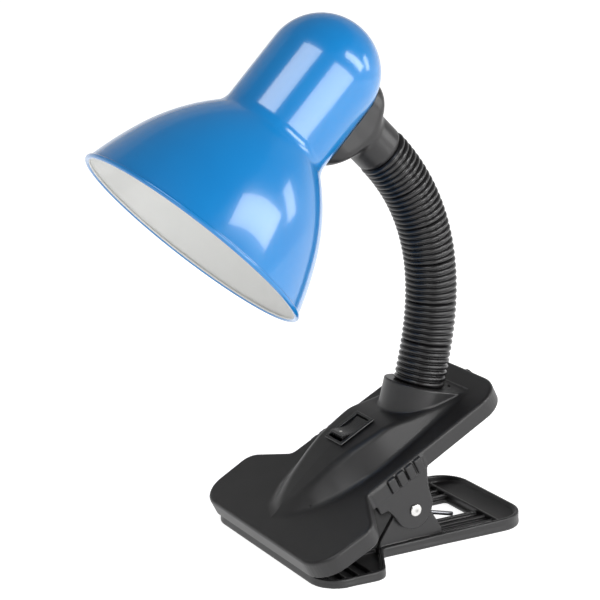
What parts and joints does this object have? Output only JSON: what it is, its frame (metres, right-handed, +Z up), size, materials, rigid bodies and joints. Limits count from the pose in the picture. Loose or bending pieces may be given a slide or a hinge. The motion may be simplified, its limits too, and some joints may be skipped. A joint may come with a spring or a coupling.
{
  "type": "clip on reading lamp",
  "caption": "Clip-on reading lamp: bell-shaped steel shade on a corrugated gooseneck, carried by a sprung plastic clip with a rocker switch.",
  "frame": {"origin": "on the rest plane under the lower jaw, straight below the clip's pivot pin", "axes": "+X from the jaw mouth to the handles, +Z up, Y along the pivot pin; symmetric about Y = 0"},
  "size_m": [0.2094, 0.1184, 0.2527],
  "materials": {
    "jaw_plastic": "moulded black, fine texture, satin",
    "inner_plastic": "moulded black",
    "rocker_plastic": "smooth black with a small white dot",
    "sleeve_plastic": "corrugated black tube, satin",
    "zinc_steel": "zinc plated",
    "bright_steel": "bright, nickel plated",
    "spring_steel": "drawn spring wire",
    "holder_brass": "bare",
    "holder_plastic": "heat-proof white moulding",
    "shade_enamel": "gloss blue outside, off-white inside"
  },
  "bodies": {
    "lower_jaw": {"lower_jaw": "jaw_plastic"},
    "upper_jaw": {"upper_jaw": "jaw_plastic", "jaw_cover": "inner_plastic", "cover_screws": "zinc_steel", "cord_gland": "inner_plastic", "pivot_rivet": "bright_steel", "rivet_washers": "zinc_steel", "torsion_spring": "spring_steel", "switch_housing": "inner_plastic", "switch_terminals": "holder_brass", "neck_base_ferrule": "zinc_steel", "neck_base_nut": "zinc_steel", "neck_core_0": "zinc_steel", "neck_sleeve_0": "sleeve_plastic"},
    "rocker": {"rocker": "rocker_plastic"},
    "neck_link_1": {"neck_core_1": "zinc_steel", "neck_sleeve_1": "sleeve_plastic"},
    "neck_link_2": {"neck_core_2": "zinc_steel", "neck_sleeve_2": "sleeve_plastic"},
    "neck_link_3": {"neck_core_3": "zinc_steel", "neck_sleeve_3": "sleeve_plastic"},
    "neck_link_4": {"neck_core_4": "zinc_steel", "neck_sleeve_4": "sleeve_plastic"},
    "neck_link_5": {"neck_core_5": "zinc_steel", "neck_sleeve_5": "sleeve_plastic"},
    "head": {"neck_core_6": "zinc_steel", "neck_sleeve_6": "sleeve_plastic", "neck_top_ferrule": "zinc_steel", "neck_top_nut": "zinc_steel", "shade_saddle": "jaw_plastic", "shade": "shade_enamel", "holder_bracket": "zinc_steel", "bracket_screws": "zinc_steel", "holder_base": "holder_plastic", "terminal_screws": "holder_brass", "holder_body": "holder_plastic", "screw_shell": "holder_brass", "centre_contact": "holder_brass"}
  },
  "joints": [
    {"name": "clip_hinge", "type": "hinge", "parent": "lower_jaw", "child": "upper_jaw", "pos_m": [0, 0, 0.021], "axis": [0, 1, 0], "range_deg": [0, 46], "stiffness_Nm_per_rad": 0.5, "springref_deg": -137.51, "deforming": ["torsion_spring"]},
    {"name": "switch_rock", "type": "hinge", "parent": "upper_jaw", "child": "rocker", "pos_m": [-0.01466, 0, 0.05215], "axis": [0, -1, 0], "range_deg": [0, 22]},
    {"name": "neck_bend_1", "type": "hinge", "parent": "upper_jaw", "child": "neck_link_1", "pos_m": [0.02608, 0, 0.08111], "axis": [0, 1, 0], "range_deg": [-30, 30]},
    {"name": "neck_bend_2", "type": "hinge", "parent": "neck_link_1", "child": "neck_link_2", "pos_m": [0.02959, 0, 0.10163], "axis": [0.9951, 0, -0.0985], "range_deg": [-30, 30]},
    {"name": "neck_bend_3", "type": "hinge", "parent": "neck_link_2", "child": "neck_link_3", "pos_m": [0.03017, 0, 0.12244], "axis": [0, -1, 0], "range_deg": [-30, 30]},
    {"name": "neck_bend_4", "type": "hinge", "parent": "neck_link_3", "child": "neck_link_4", "pos_m": [0.02695, 0, 0.143], "axis": [-0.9657, 0, -0.2597], "range_deg": [-30, 30]},
    {"name": "neck_bend_5", "type": "hinge", "parent": "neck_link_4", "child": "neck_link_5", "pos_m": [0.01942, 0, 0.16241], "axis": [0, 1, 0], "range_deg": [-30, 30]},
    {"name": "neck_bend_6", "type": "hinge", "parent": "neck_link_5", "child": "head", "pos_m": [0.00772, 0, 0.17963], "axis": [0.7638, 0, 0.6455], "range_deg": [-30, 30]}
  ]
}
